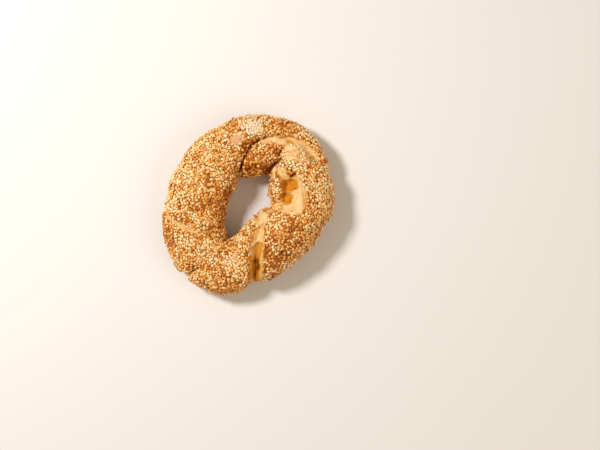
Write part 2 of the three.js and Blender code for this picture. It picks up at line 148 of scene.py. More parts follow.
FINE_FOLDS = [
    # the stretched strip at the front
    (1.4, 2, [(13.4, -32, 1.1), (12.8, -44, 1.7), (12, -52, 1.9), (11.2, -61, 2)]),
    (0.6, 2, [(3.7, -47, 0.7), (3.4, -63, 0.8)]),
    (0.7, 2, [(2.1, -38, 1.6), (2.1, -41.5, 1.7)]),
    (0.8, 2, [(5.7, -31.3, 0.6), (9, -31.2, 0.7), (13, -31.3, 0.6)]),
    (1, 2, [(5, -46, 0.7), (7, -45.6, 0.8), (11, -44.6, 0.7)]),
    (-0.8, 2, [(6.5, -44.2, 0.6), (10.8, -42.9, 0.7)]),
    (-0.6, 2, [(1.8, -47, 0.6), (1.6, -62, 0.7)]),
    (-0.5, 2, [(5.3, -48, 0.5), (5, -62, 0.6)]),
    (-0.8, 2, [(14.4, -44, 0.6), (14, -58, 0.8)]),
    (-0.8, 2, [(13.6, -8, 0.7), (8.6, -14, 0.8)]),
    (-0.8, 2, [(13, -15.4, 0.7), (7, -20.6, 0.8)]),
    (0.5, 2, [(12.8, -30, 0.8), (12.4, -22, 0.9), (13.4, -12, 0.8)]),
    (-0.5, 2, [(8.6, -23, 0.7), (9, -29, 0.7)]),
    # the bottom of the seam beside the inner rope's blunt end
    (2.6, 2, [(7.8, 51, 0.9), (-3.7, 41.3, 1), (-7.7, 28.2, 1)]),
    # the edge of the fold at the left
    (1.1, 2, [(-68.4, -10.6, 0.9), (-57.4, -17.6, 1.1), (-51, -20.8, 1.1), (-42, -23.6, 0.9)]),
    (-1.2, 2, [(-56, -14.6, 1.3), (-44, -19.4, 1.3)]),
    # the notch between the lobes at the lower left
    (-2, 2, [(-56, -61.5, 2.2), (-50.6, -61, 1.6), (-45, -56.4, 1.2)]),
    # the band inside the long seam
    (0.9, 2, [(24.7, 56.3, 2.2), (25.4, 56.2, 2.2)]),
    (0.6, 2, [(44, 51.5, 2), (46, 51, 2)]),
    (-1.3, 2, [(34, 53.5, 1.2), (38.6, 52.4, 1.2)]),
    (-0.9, 2, [(28.1, 57.6, 0.8), (33.7, 57.2, 0.8)]),
    (-0.7, 2, [(15.3, 51.2, 0.8), (20.4, 50, 0.8)]),
    (-0.5, 2, [(41, 50, 0.9), (50, 48.4, 0.9)]),
    (1.3, 2, [(36.4, 42.7, 0.8), (47, 43.1, 1.1), (56, 41.3, 0.8)]),
    (-0.9, 2, [(45, 46.6, 1.1), (53, 44.9, 1.1)]),
    (-0.9, 2, [(41, 40.6, 1.1), (50, 40, 1.1)]),
    # cracks above the torn hollow and on its strand
    (-1.8, 2, [(34.8, 29.6, 1), (37.6, 28, 1.1)]),
    (-1.5, 2, [(40.4, 29.6, 0.8), (42.3, 28, 0.8)]),
    (-2.8, 2, [(36.6, 23.4, 1), (40.8, 25.6, 1)]),
    (0.7, 2, [(30.4, 22, 0.8), (36.9, 21.6, 0.7), (42, 21.6, 0.7)]),
    (-0.9, 2, [(21.7, 4.5, 0.5), (24, 5.2, 0.5)]),
    (-0.9, 2, [(23.8, 2, 0.5), (26.3, 2.9, 0.5)]),
    # threads and folds inside the hollow
    (1.3, 2, [(31, 10.8, 0.6), (37.4, 10.7, 1)]),
    (0.8, 2, [(33, 18.6, 0.5), (39.5, 17.6, 0.7)]),
    (0.7, 2, [(31, 1.8, 0.6), (35.5, 3.4, 0.6)]),
    (-0.8, 2, [(34.8, 12.6, 0.5), (37.4, 12.9, 0.5)]),
    # the fan of stretched dough beside it
    (1, 2, [(40.8, 18.6, 0.8), (38.6, 11.2, 0.9), (37, 4, 0.9), (34, -0.6, 1)]),
    (0.9, 2, [(44.2, 19, 0.7), (45.6, 9, 1.1), (46.2, 0, 1.3)]),
    (0.5, 2, [(42.8, 16, 0.6), (41, 6, 1.1), (38, -3, 1.4)]),
    (-0.6, 2, [(43.4, 15, 0.5), (43, 5, 0.9), (42, -3, 1.2)]),
    (-0.5, 2, [(45.8, 15, 0.5), (48.2, 7, 0.7), (48.6, -1, 0.8)]),
]
# Where the skin stretched open and the dough is bare: the share of seeds that it keeps, and a line
# of x, y and half width.
BARE = [
    (0.03, [(17.4, -4.4, 1.6), (15.2, -6.8, 2.6), (12.6, -10, 4), (11, -14.4, 5), (10, -19, 4.4),
            (10, -24.5, 4.2), (9.8, -29.5, 4.5), (9.3, -31.9, 4.8)]),
    (0, [(9.3, -31.9, 4.4), (7.8, -36.1, 6.2), (7.4, -40.4, 6.8), (7.7, -45.5, 6.6),
         (7.7, -52.3, 6.7), (7.1, -59.1, 6.9), (6.2, -64.2, 6.8), (5.5, -69, 6.4)]),
    (0.45, [(5.2, -24, 2), (4.6, -29.5, 2.6)]),
    (0.1, [(9.4, 51.6, 1.2), (12.8, 53.6, 2), (17, 55.2, 3.4), (22.1, 55.8, 3.9)]),
    (0.02, [(22.1, 55.8, 3.9), (28.1, 55, 4.2), (34, 54.2, 4.4), (40, 53, 4.6)]),
    (0.08, [(40, 53, 4.4), (45.9, 50.4, 4.2), (51, 47.2, 3.8), (55.3, 43.8, 3), (59.5, 39.6, 1.8)]),
    (0.55, [(33, 47.6, 3), (41, 46.4, 3.6), (48, 44.8, 3)]),
    (0.03, [(36.4, 42.9, 1.8), (46, 43.1, 2.1), (54, 42, 1.7)]),
    (0.6, [(32, 40.6, 2.6), (41, 40, 3), (50, 38.2, 3)]),
    (0.5, [(21.2, 33, 2.2), (21.8, 28, 2.6), (22.6, 23.4, 2.2)]),
    (0.04, [(25.6, 31.8, 2.2), (29.2, 27.5, 3.2), (30.6, 24, 2.8)]),
    (0.1, [(31.6, 31.4, 1.8), (36.4, 28.4, 2.2)]),
    (0, [(36, 23.4, 2), (41.4, 25.6, 2)]),
    (0, [(29.6, 22.4, 1.6), (36.9, 21.9, 1.6), (42, 21.6, 1.4)]),
    (0, [(31.6, 14.9, 5.4), (37.6, 16.4, 5)]),
    (0, [(29.4, 5.4, 5.2), (33.2, 4.9, 5)]),
    (0, [(32, 10.6, 4.4), (37, 9.5, 4.6)]),
    (0, [(43.6, 22.4, 1.2), (44, 17.4, 3.1), (44, 12.9, 4.8), (44.2, 7.4, 6.6), (43.2, 2.6, 7.2)]),
    (0.12, [(23, -1.2, 2.6), (28, -1.9, 3.2), (34, -2.4, 3.4), (43, -2.4, 4.4)]),
    (0.4, [(22.4, -1.4, 1.6), (30, -5.2, 2.4), (37, -7.4, 2.6), (44, -5.6, 2.6), (48.4, 0, 2)]),
    (0.08, [(-69.5, -9.6, 2.1), (-62.8, -14.4, 2.3), (-57.4, -17.6, 2.2), (-51, -20.8, 2.1),
            (-42, -23.6, 1.9)]),
    (0.4, [(-42, -23.6, 1.6), (-38, -23, 1.5), (-31.6, -22.8, 1.4), (-26, -25.4, 1.3)]),
]
SKIN_EDGE = 0.3  # how far torn skin stands over the bare dough beside it
SKIN_BLUR = 0.35  # half width of the line between skin and bare dough
HALF_BARE = 0.5  # mark from which the dough counts as bare
FAN_TIP = (43.4, 24.0)  # from which the dough beside the torn hollow is stretched
FAN_LENGTH = 36
FAN_STREAKS = 0.35  # grain that each degree of the fan gets
HONEY, ORANGE, BROWN = 0.6, 1.0, 2.0  # tones at which bare dough has these colours
# How far bare dough turns from cream, at 0, through honey and baked orange to dark brown: the tone,
# sharpness of the edge, and a line of x, y and half width. Rows marked below are painted shade; the
# rest is the dough's own colour.
TONES = [
    (1.05, 8, [(31.8, 14.8, 5), (37.6, 16.4, 4.8)]),
    (1.05, 8, [(29.6, 5.6, 4.7), (33.2, 4.9, 4.8)]),
    # The next two rows are painted shade in the lower left of each torn hollow.
    (1.2, 2, [(31.4, 12.2, 1.6), (35.4, 13, 1.1)]),
    (1.2, 2, [(29.6, 8, 1.4), (34, 8.8, 0.9)]),
    (0.75, 3, [(37, 19.4, 2.2), (40.8, 17.6, 1.6)]),
    (1.7, 2, [(38.6, 12.6, 0.6), (40.6, 15.4, 0.7)]),
    (1.7, 2, [(34.6, 1.6, 0.6), (36.6, 4.6, 0.8)]),
    (0.5, 4, [(34.6, 10.9, 2), (37.4, 10.6, 1.6)]),
    (0.45, 3, [(22.4, -2, 1.6), (27.4, -2.2, 1.8)]),
    (0.7, 2, [(31.4, 31.2, 1.6), (36, 28.6, 1.9)]),
    (0.45, 2, [(29.4, 22.6, 1), (35, 23.2, 1.2)]),
    (0.68, 6, [(10.2, -33.6, 2.8), (9, -38, 4.2), (8.2, -42.6, 3.6)]),
    (1.2, 2, [(6.4, -44.3, 0.9), (10.9, -42.7, 1)]),
    (1.8, 4, [(8.6, -46, 2.3), (8.5, -55, 2.4)]),
    (1.4, 4, [(8.4, -54, 2.4), (7.8, -60, 2.6), (7.2, -66, 2.8)]),
    (1.2, 4, [(1.6, -45.6, 1.8), (1.2, -55, 2.1), (0.6, -66, 2.3)]),
    (0.7, 4, [(4.2, -46, 1.8), (3.8, -66, 2.2)]),
    (1.2, 2, [(0.9, -46, 0.7), (0, -66, 0.8)]),
    # A painted shadow line beside the ridge of the stretched strip.
    (1.4, 3, [(15.2, -43, 0.8), (14.6, -60, 1)]),
    (0.75, 2, [(13, -15.4, 0.8), (7, -20.6, 1)]),
    (0.4, 2, [(8.4, -22, 1.6), (8, -29, 1.6)]),
    (0.3, 3, [(13.4, -33, 1.4), (11.6, -52, 1.6), (11.4, -62, 1.8)]),
    (0.6, 2, [(5, -24, 1.6), (4.4, -30, 2)]),
    (0.62, 2, [(34, 53.6, 1.4), (38.8, 52.4, 1.4)]),
    # The next two rows are painted shade in hollows of the band.
    (0.6, 2, [(28.1, 57.8, 1), (33.9, 57.4, 1)]),
    (0.6, 2, [(15, 51, 1), (21, 49.8, 1)]),
    (0.3, 2, [(41, 49.6, 1.2), (52, 47, 1.2)]),
    (0.45, 2, [(44.6, 46.8, 1.2), (53, 44.6, 1.3)]),
    (0.5, 2, [(41, 40.4, 1.2), (50, 39.8, 1.3)]),
    (0.35, 2, [(27.6, 32, 1.4), (29, 27, 1.4)]),
    (0.5, 2, [(33.5, 26.4, 1), (35.8, 24.4, 1.2)]),
    # A painted shade line along the right edge of the fan.
    (0.6, 2, [(46.6, 17, 0.6), (49.6, 8, 0.8), (49, -1, 0.9)]),
    # The rows from here on are painted shade in cracks.
    (2.2, 2, [(34.6, 29.8, 1), (37.6, 28, 1.1)]),
    (2, 2, [(40.4, 29.6, 0.9), (42.3, 28, 0.9)]),
    (2.5, 2, [(36.6, 23.4, 1.2), (40.8, 25.6, 1.1)]),
    (1.6, 2, [(21.7, 4.5, 0.7), (24, 5.2, 0.7)]),
    (1.6, 2, [(23.8, 2, 0.7), (26.3, 2.9, 0.7)]),
]
EDGE_TONE = 0.4  # tone of bare dough beside the skin
EDGE_REACH = 2.2  # and how far in it reaches
# Patches of crust: x, y, half length, half width, turn, share of the seeds that it keeps, and how
# pale, how rosy and how dark it is. That darkness is browning in most patches, and painted shade
# under and beside the inner rope's blunt end and along the lower edge.
PATCHES = [
    (5, 64.8, 9, 6.8, -25, 0.6, 0.9, 0, 0),
    (-8.5, 55.6, 7.6, 5.2, 40, 0.1, 0.3, 0.95, 0),
    (-0.5, 50.6, 6, 4, 50, 0.6, 0, 0, 0.8),
    (-35.3, 44.2, 6.5, 2.8, 75, 0.4, 0.1, 0.7, 0),
    (-35.7, 20.8, 8.5, 1.6, 92, 0.25, 0, 0.45, 0.3),
    (-31.4, 4.4, 4.6, 2.2, 70, 0.6, 0, 0, 1.1),
    (-58.7, -39.5, 9, 3.8, 105, 0.6, 0, 0.6, 0.2),
    (-49.3, -52.3, 8, 4.6, 150, 0.85, 0, 0, 0.6),
    (-38.7, -41.7, 7, 2.4, 80, 0.45, 0.1, 0.8, 0),
    (-14.5, -47.2, 8, 3.4, 30, 0.5, 0.2, 0.8, 0),
    (40, -28, 6, 4.5, 70, 0.55, 0, 0.6, 0.5),
    (31, -33, 24, 13, 50, 0.7, 0, 0.05, 0.45),
    (-64.5, -31, 8, 4.2, 105, 0.6, 0, 0.5, 0.4),
    # painted shade along the lower edge, away from the key light
    (-24, -69, 16, 5, 0, 0.8, 0, 0, 0.6),
    (24, -48, 7, 4.2, 65, 0.4, 0, 0.2, 0.9),
    (44, 38, 6, 3.2, 140, 0.5, 0.1, 0.9, 0),
    (-52, 15, 5, 2, 70, 0.6, 0.1, 0.5, 0),
    (2.1, -40, 4.6, 2.2, 90, 1, 0, 1, 0),
    # the next three rows: painted shade on and under the inner rope's blunt end
    (26.2, 42, 6, 2.8, 80, 0.3, 0, 0, 1.1),
    (3.4, 31.4, 6, 3.6, 10, 0.35, 0, 0, 1.2),
    (16.6, 31.4, 5.5, 4.8, 0, 0.3, 0, 0, 0.5),
    (12.5, -9.5, 6.5, 3.5, 135, 1, 0.6, 0, 0),
    (34, 45, 8.5, 3, 70, 1, 0.45, 0, 0),
    (44, 45, 9, 5, 170, 1, 0.3, 0, 0),
]

PATCH_EDGE = (0.6, 1.25)  # shares of its size over which a patch fades out
PATCH_RAGGEDNESS = 0.28  # by which its edge wanders
ROSINESS = 0.8  # share of the rosy colour that the rosiest patch takes

# Heights over which folds, bare dough and patches come in, so that the foot has none.
FOLDS_RISE = (4, 12)
BARE_RISE = (4, 9)
PATCHES_RISE = (8, 16)
# To and fro of all edges seen from above: reach, width, and a place in the noise.
WANDERING = [(1.5, 5.5, 3), (0.9, 1.9, 8)]
# A crease follows a seam, bare of seeds and darkened a little with painted shade: distances over
# which it fades, and depths over which it comes in.
CREASE_FADES = (0.4, 1.5)
CREASE_STARTS = (2, 4.5)

# The underside baked browner. The wall of the hole is browner from baking and from painted shade,
# most on its side turned from the key light. Both hold fewer seeds. Creases hold none, and get a
# little painted shade.
WALL_STARTS = (120, 175)  # section angles over which the wall begins
WALL_ENDS = (250, 300)  # section angles over which it ends
WALL_MEAN = 0.55  # mean share of its browning and painted shade, round the hole
WALL_SWING = 0.45  # by which that share falls and grows: painted shade, more on the side turned from the key light
BRIGHT_WALL = -42  # ring angle at which the wall faces the key light and gets least painted shade
UNDERSIDE_ENDS = (2, 9)  # heights over which the underside ends
# How dark each gets: painted shade in creases, browning and painted shade on the wall, browning on
# the underside.
BAKED_AND_SHADED = {"crease": 0.15, "wall": 0.95, "under": 0.6}
MOST_BAKED_AND_SHADED = 1.3
SEEDS_LOST = {"wall": 0.18, "under": 0.4}

# Where seeds are darker or, below 0, paler: x, y, reach, change. Some of this is toasting, and some
# is painted shade: beside the long seam, under the inner rope's blunt end, on the hole's left wall,
# above the fold at the left and along the lower edge.
TOASTING_AND_SHADE = [
    (-26, -4, 11, 0.25), (-22, 12, 9, 0.12), (-24, -20, 9, 0.12), (15, 35, 8, 0.3),
    (18, 28, 6, 0.1), (-4, 42, 4, 0.4), (0, 50, 4, 0.3), (8, 57, 4, 0.2),
    (12, 47, 7, -0.15), (26, 12, 6, -0.3), (-53, -12, 6, 0.4), (-31, -19, 7, 0.25),
    (32, -34, 18, 0.2), (-64, -31, 9, 0.3), (-24, -71, 14, 0.3), (3, 31, 6, 0.5),
    (-52, -32, 22, -0.14), (-62, 2, 16, -0.06), (-32, 4, 6, 0.3), (58, 20, 16, -0.12),
    (34, 66, 18, 0.1), (4, -18, 9, -0.3), (40, 44, 9, -0.4), (6, 66, 8, -0.3),
    (-10, 62, 14, 0.1), (-22, 54, 14, 0.1), (-69, -22, 9, 0.2),
]

# ---------------------------------------------------------------------------------------------
# The meshes
# ---------------------------------------------------------------------------------------------

TORUS_RADIUS = 0.05  # in metres, of the net that is shaped into the bread
TORUS_THICKNESS = 0.02
TORUS_AROUND = 220
TORUS_OVER = 110
CROWDED_ON_TOP = 20  # degrees by which the rows of points shift towards the top
CROWDED_BY_TEARS = 26  # degrees by which they shift round the ring, towards its torn side
TORN_SIDE = -4  # ring angle of the middle of that side
FLOOR_GAP = 0.05  # by which the crust stays off the floor
FINE_STEPS = 3600  # steps round the ring that a seam is first measured in
CHUNK = 16000  # points that are matched to a seam at once
STREAKS = (0.06, 0.9, 1)  # grain for each millimetre along a seam and across it

SEED_SEGMENTS = 8
SEED_RINGS = 5
SEED_TAPER = 0.28  # from its broad end to its pointed one
SEED_ROUNDING = 0.14  # towards both ends
SEED_FULLNESS = (1.08, 1.05)  # makes up for the taper, in width and in thickness
SEED_TIP = (0.45, 1)  # where the tip begins and ends, in half lengths from the middle
SEED_SPREAD = 0.11  # of the seeds' length, width and thickness
MOST_SPREAD = 0.22

CANDIDATES = 120000  # places that are tried
COVERED = 0.93  # share of those with room that get a seed where the cover is full
COVER_CLOUDS = 0.3  # by which that share comes and goes
SETTLING_ROUNDS = 12
SPINE = np.array([-0.3, 0, 0.3])  # points along a seed, in lengths from its middle
TOUCHING_REACH = 1.15  # lengths within which two seeds can touch
BESIDE = 0.92  # widths that settled seeds keep between their spines
PUSH, SHIFT, SWIVEL = 0.4, 0.8, 6  # how strongly seeds too close push, move and turn each other
OVERLAP = 0.9  # widths between two spines under which one seed lies on the other
LEANING = 0.8  # how far it then leans
SEED_LIFT = 0.2  # from the crust to a seed's middle, in thicknesses
RIDERS = 0.07  # share of the seeds that lie on other seeds
RIDER_LIFT = 0.7  # more for these
TILT = 0.16  # spread of the seeds' tilt
RIDER_TILT = 0.3
PRESSED_FLAT = (5, 2)  # heights over which seeds under the bread are pressed into it

SEED_KINDS = ("pale", "golden", "toasted")
KIND_LIMITS = (0.37, 0.72)  # heats that part one kind from the next
HEAT, HEAT_SPREAD = 0.4, 0.24
HEAT_CLOUDS = 0.3  # by which the heat comes and goes
BAKED_AND_SHADED_HEAT = 0.3  # more on browned crust and on crust painted with shade
PALE_HEAT = 0.5  # less on pale crust
FROST = (0.4, 0.6)  # least frosting of a seed on floury crust, and what chance adds

# ---------------------------------------------------------------------------------------------
# The studio, in metres and watts
# ---------------------------------------------------------------------------------------------

# The lights: name, place, size, power and colour.
LIGHTS = [
    ("key", (-0.68, 0.4, 0.95), 0.26, 13.6, (1.0, 0.98, 0.94)),
    ("fill", (0.9, -0.4, 0.9), 1.2, 5.1, (1.0, 0.85, 0.65)),
]
LIT_POINT = (0, 0, 0.02)
AIR_COLOUR = (1.0, 0.88, 0.71)
AIR_STRENGTH = 0.37
FLOOR_WIDTH = 8
SENSOR_WIDTH = 36  # of the camera, in millimetres


# ---------------------------------------------------------------------------------------------
# Shape of the ring
# ---------------------------------------------------------------------------------------------

def curve_through(stations, column, gain=0.0):
    """A smooth curve round the ring through one column of a table, which it never overshoots."""
    at = np.concatenate([stations[:, 0] + TURN * k for k in (-1, 0, 1)])
    value = np.concatenate([stations[:, column] + gain * k for k in (-1, 0, 1)])
    rise = np.diff(value) / np.diff(at)
    before, after = rise[:-1], rise[1:]
    total = np.where(before * after > 0, before + after, 1.0)
    slope = np.zeros_like(value)
    slope[1:-1] = np.where(before * after > 0, 2 * before * after / total, 0.0)

    def curve(angle):
        turns = np.floor((angle - stations[0, 0]) / TURN)
        in_turn = angle - TURN * turns
        i = np.clip(np.searchsorted(at, in_turn, side="right") - 1, 0, len(at) - 2)
        span = at[i + 1] - at[i]
        t = (in_turn - at[i]) / span
        s = 1 - t
        start = value[i] * (1 + 2 * t) * s * s + slope[i] * span * t * s * s
        end = value[i + 1] * (3 - 2 * t) * t * t - slope[i + 1] * span * s * t * t
        return start + end + gain * turns

    return curve


hole_radius, rim_radius, crown_height = (curve_through(RING, k) for k in (1, 2, 3))


def unit(vectors):
    return vectors / np.maximum(np.linalg.norm(vectors, axis=-1, keepdims=True), 1e-9)


def dot(a, b):
    return (a * b).sum(-1)


def along_surface(vectors, normals):
    """The part of each vector that lies along the surface."""
    return vectors - normals * dot(vectors, normals)[:, None]


def smoothstep(low, high, value):
    t = np.clip((value - low) / (high - low), 0, 1)
    return t * t * (3 - 2 * t)


def plain_points(at, across):
    """Points of the ring before its seams and swellings."""
    hole, rim, crown = hole_radius(at), rim_radius(at), crown_height(at)
    radius = (rim + hole) / 2 + (rim - hole) / 2 * np.cos(np.radians(across))
    rise = np.sin(np.radians(across))
    waist = WAIST * crown
    top = waist + (crown - waist) * np.abs(rise) ** TOP_FULLNESS
    foot = waist - FOOT_REACH * waist * np.abs(rise) ** FOOT_FULLNESS
    height = np.where(rise > 0, top, foot)
    return np.stack([radius * np.cos(np.radians(at)), radius * np.sin(np.radians(at)), height], -1)


def plain_frame(at, across):
    """The plain ring's directions along the ring, over the section and outwards."""
    step = 0.5
    along = unit(plain_points(at + step, across) - plain_points(at - step, across))
    over = unit(plain_points(at, across + step) - plain_points(at, across - step))
    outward = unit(np.cross(along, over))
    return along, np.cross(outward, along), outward


def swell_way(at, across):
    """The way that dough sinks or swells: up or down on top, and sideways at the sides."""
    sideways = np.cos(np.radians(across)) ** SIDE_SHARPNESS
    x, y = np.cos(np.radians(at)), np.sin(np.radians(at))
    return unit(np.stack([x * sideways, y * sideways, np.sin(np.radians(across))], -1))


class Seam:
    """A seam traced on the plain ring, with its sizes at each of its even steps."""

    def __init__(self, stations):
        across_at = curve_through(stations, 1, SEAM_TURNS * TURN)
        fine = np.linspace(0, TURN, FINE_STEPS, endpoint=False)
        points = plain_points(fine, across_at(fine))
        gaps = np.linalg.norm(np.roll(points, -1, 0) - points, axis=-1)
        run = np.concatenate([[0], np.cumsum(gaps)])
        self.run = np.arange(0, run[-1], SEAM_STEP)
        self.at = np.interp(self.run, run, np.append(fine, TURN))
        self.points = plain_points(self.at, across_at(self.at))
        self.onward = unit(np.roll(self.points, -1, 0) - np.roll(self.points, 1, 0))
        self.left = np.cross(plain_frame(self.at, across_at(self.at))[2], self.onward)
        self.sizes = [curve_through(stations, k)(self.at) for k in range(2, 8)]

    def beside(self, points):
        """The nearest step to each point, how far to its left the point is, and how far along."""
        nearest = np.empty(len(points), int)
        for first in range(0, len(points), CHUNK):
            part = points[first:first + CHUNK]
            gaps = (self.points ** 2).sum(-1)[None] - 2 * part @ self.points.T
            nearest[first:first + CHUNK] = gaps.argmin(1)
        reach = points - self.points[nearest]
        onward = self.onward[nearest]
        ahead = dot(reach, onward)
        reach = reach - ahead[:, None] * onward
        side = np.where(dot(reach, self.left[nearest]) < 0, -1, 1)
        return nearest, side * np.linalg.norm(reach, axis=-1), self.run[nearest] + ahead

    def depth(self, nearest, offset):
        """How deep the seam is at points beside it."""
        deep, floor, left, right, easy_left, easy_right = (size[nearest] for size in self.sizes)
        width = np.where(offset > 0, left, right)
        easy = np.where(offset > 0, easy_left, easy_right)
        across = np.clip((np.abs(offset) - floor) / width, 0, 1)
        flank = 1 - np.sqrt(1 - (1 - across) ** 2)
        slope = 1 - smoothstep(0, 1, across)
        return deep * (flank * (1 - easy) + slope * easy)


def swelling_height(points):
    """How far the swellings raise the plain ring at its points."""
    total = np.zeros(len(points))
    for at, across, height, long, wide, turn in SWELLINGS:
        middle = plain_points(float(at), float(across))
        along, over, outward = plain_frame(float(at), float(across))
        cos, sin = math.cos(math.radians(turn)), math.sin(math.radians(turn))
        reach = points - middle
        far = (reach @ (along * cos + over * sin) / long) ** 2
        far += (reach @ (over * cos - along * sin) / wide) ** 2
        far += (reach @ outward / max(long, wide)) ** 2
        total += height * np.exp(-SWELLING_EDGE * far)
    return total


def beside_line(points, line):
    """How far points lie outside a line's edge, seen from above, and how far out in half widths."""
    gap = np.full(len(points), np.inf)
    ratio = np.full(len(points), np.inf)
    for (x0, y0, wide0), (x1, y1, wide1) in zip(line, line[1:]):
        reach = points[:, :2] - (x0, y0)
        way = np.array([x1 - x0, y1 - y0])
        along = np.clip(reach @ way / (way @ way), 0, 1)
        far = np.linalg.norm(reach - along[:, None] * way, axis=-1)
        wide = wide0 + (wide1 - wide0) * along
        gap = np.minimum(gap, far - wide)
        ratio = np.minimum(ratio, far / wide)
    return gap, ratio


def fold_height(folds, points):
    """How far the folds raise or sink the top at points."""
    total = np.zeros(len(points))
    for height, sharpness, line in folds:
        total += height * 0.5 ** (beside_line(points, line)[1] ** sharpness)
    return total * smoothstep(*FOLDS_RISE, points[:, 2])


def tone_marks(points):
    """How far bare dough turns from cream to brown at points; some of the rows paint shade."""
    tone = np.zeros(len(points))
    for value, sharpness, line in TONES:
        tone = np.maximum(tone, value * 0.5 ** (beside_line(points, line)[1] ** sharpness))
    return tone


def bare_marks(points):
    """How bare the dough is, the share of seeds that it keeps, and how near its edge it is."""
    top = smoothstep(*BARE_RISE, points[:, 2])
    bare = np.zeros(len(points))
    keeps = np.zeros(len(points))
    gap = np.full(len(points), np.inf)
    for share, line in BARE:
        outside = beside_line(points, line)[0]
        here = top * (1 - smoothstep(-SKIN_BLUR, SKIN_BLUR, outside))
        keeps = np.where(here > bare, share, keeps)
        bare = np.maximum(bare, here)
        gap = np.minimum(gap, outside)
    return bare, keeps, smoothstep(-EDGE_REACH, 0, gap)


def uneven(points):
    """Points shifted a little to and fro, so that what follows them gets natural, uneven edges."""
    moved = points.copy()
    for axis in (0, 1):
        for reach, width, start in WANDERING:
            moved[:, axis] += reach * noise_at(points, width, start + 20 * axis)
    return moved


def rest_on_tray(height):
    """Heights with all that sinks below the tray flattened on it, and the rest rounded into that."""
    near = (height + FOOT_ROUNDING) ** 2 / (4 * FOOT_ROUNDING)
    flat = np.where(height < -FOOT_ROUNDING, 0, np.where(height > FOOT_ROUNDING, height, near))
    return flat + FOOT_LIFT * (1 - smoothstep(0, FOOT_TOP, flat))


def noise_at(points, width, start):
    """Smooth noise from about -1 to 1 at points in millimetres, from another part for each start."""
    shift = Vector((start, start * 0.7, start * 1.3))
    return np.array([noise.noise(Vector(p) / width + shift) for p in points])


def shape_ring(at, across):
    """The finished ring's points in millimetres, and the marks that its finish follows."""
    plain = plain_points(at, across)
    drawn = uneven(plain)
    depth = np.zeros(len(at))
    grain = np.zeros((len(at), 3))
    crease = np.full(len(at), np.inf)
    for seam in (seam_a, seam_b):
        nearest, offset, run = seam.beside(plain)
        depth = np.maximum(depth, seam.depth(nearest, offset))
        closer = np.abs(offset) < crease
        crease = np.minimum(crease, np.abs(offset))
        grain[closer, 0], grain[closer, 1] = run[closer], offset[closer]
    waves = sum(
        height * np.sin(np.radians(around * at + over * across) + phase)
        for height, around, over, phase in WAVES
    )
    # The fan's streaks spread from its tip, and all others follow the nearer seam.
    fan = plain[:, :2] - FAN_TIP
    fanned = (np.abs(fan[:, 0]) < -fan[:, 1]) & (fan[:, 1] > -FAN_LENGTH)
    grain[fanned, 0] = np.hypot(*fan[fanned].T)
    grain[fanned, 1] = np.degrees(np.arctan2(fan[fanned, 0], -fan[fanned, 1])) * FAN_STREAKS
    bare, keeps, edge = bare_marks(drawn)
    height = swelling_height(plain) + waves - depth
    height += fold_height(FOLDS, drawn) + fold_height(FINE_FOLDS, drawn)
    # Skin curls up where it tore, and bare dough lies lower than skin.
    height += SKIN_EDGE * 4 * bare * (1 - bare) - SKIN_EDGE * bare
    points = plain + swell_way(at, across) * height[:, None]
    points[:, 2] = rest_on_tray(points[:, 2])
    tone = np.maximum(tone_marks(drawn), EDGE_TONE * edge)
    crease = (1 - smoothstep(*CREASE_FADES, crease)) * smoothstep(*CREASE_STARTS, depth)
    return points, {"bare": bare, "keeps": keeps, "tone": tone, "grain": grain, "crease": crease}


def patch_marks(points):
    """Share of seeds left, and how pale, rosy and dark the crust is, at points on the ring; the
    darkness is browning in some patches and painted shade in others.
    """
    top = smoothstep(*PATCHES_RISE, points[:, 2])
    ragged = PATCH_RAGGEDNESS * noise_at(points, width=3.2, start=5)
    left = np.ones(len(points))
    tints = np.zeros((3, len(points)))
    for x, y, long, wide, turn, share, *strengths in PATCHES:
        cos, sin = math.cos(math.radians(turn)), math.sin(math.radians(turn))
        dx, dy = points[:, 0] - x, points[:, 1] - y
        far = np.hypot((dx * cos + dy * sin) / long, (dy * cos - dx * sin) / wide)
        inside = top * (1 - smoothstep(*PATCH_EDGE, far + ragged))
        left = np.minimum(left, 1 - inside * (1 - share))
        tints = np.maximum(tints, inside * np.array(strengths)[:, None])
    return left, tints


def baking_and_shade_marks(at, across, points, marks):
    """How pale, rosy and dark the crust is, from browning and from painted shade, and the share of
    seeds that it keeps.
    """
    left, (pale, rosy, baked) = patch_marks(points)
    over = across % TURN
    # Painted shade, with some browning, on the wall of the hole, strongest away from the key light.
    wall = smoothstep(*WALL_STARTS, over) * (1 - smoothstep(*WALL_ENDS, over))
    wall *= WALL_MEAN - WALL_SWING * np.cos(np.radians(at - BRIGHT_WALL))
    under = 1 - smoothstep(*UNDERSIDE_ENDS, points[:, 2])
    # Creases get a little painted shade, and the underside its browning.
    baked = np.maximum(baked, BAKED_AND_SHADED["crease"] * marks["crease"])
    baked = baked + BAKED_AND_SHADED["wall"] * wall + BAKED_AND_SHADED["under"] * under
    cover = left * (1 - SEEDS_LOST["under"] * under) * (1 - SEEDS_LOST["wall"] * wall)
    cover = np.where(marks["bare"] < HALF_BARE, cover * (1 - marks["crease"]), marks["keeps"])
    baked = np.clip(baked, 0, MOST_BAKED_AND_SHADED)
    return {"pale": pale, "rosy": rosy * ROSINESS, "baked": baked, "cover": cover}


seam_a = Seam(SEAM_A)
seam_b = Seam(SEAM_B)


# ---------------------------------------------------------------------------------------------
# Settings
# ---------------------------------------------------------------------------------------------

def colour_property(name, description, default):
    return FloatVectorProperty(
        name=name, description=description, subtype="COLOR", size=3, min=0, max=1, default=default
    )


def length_property(name, description, default, least=0):
    return FloatProperty(
        name=name, description=description, subtype="DISTANCE", unit="LENGTH", min=least,
        default=default,
    )


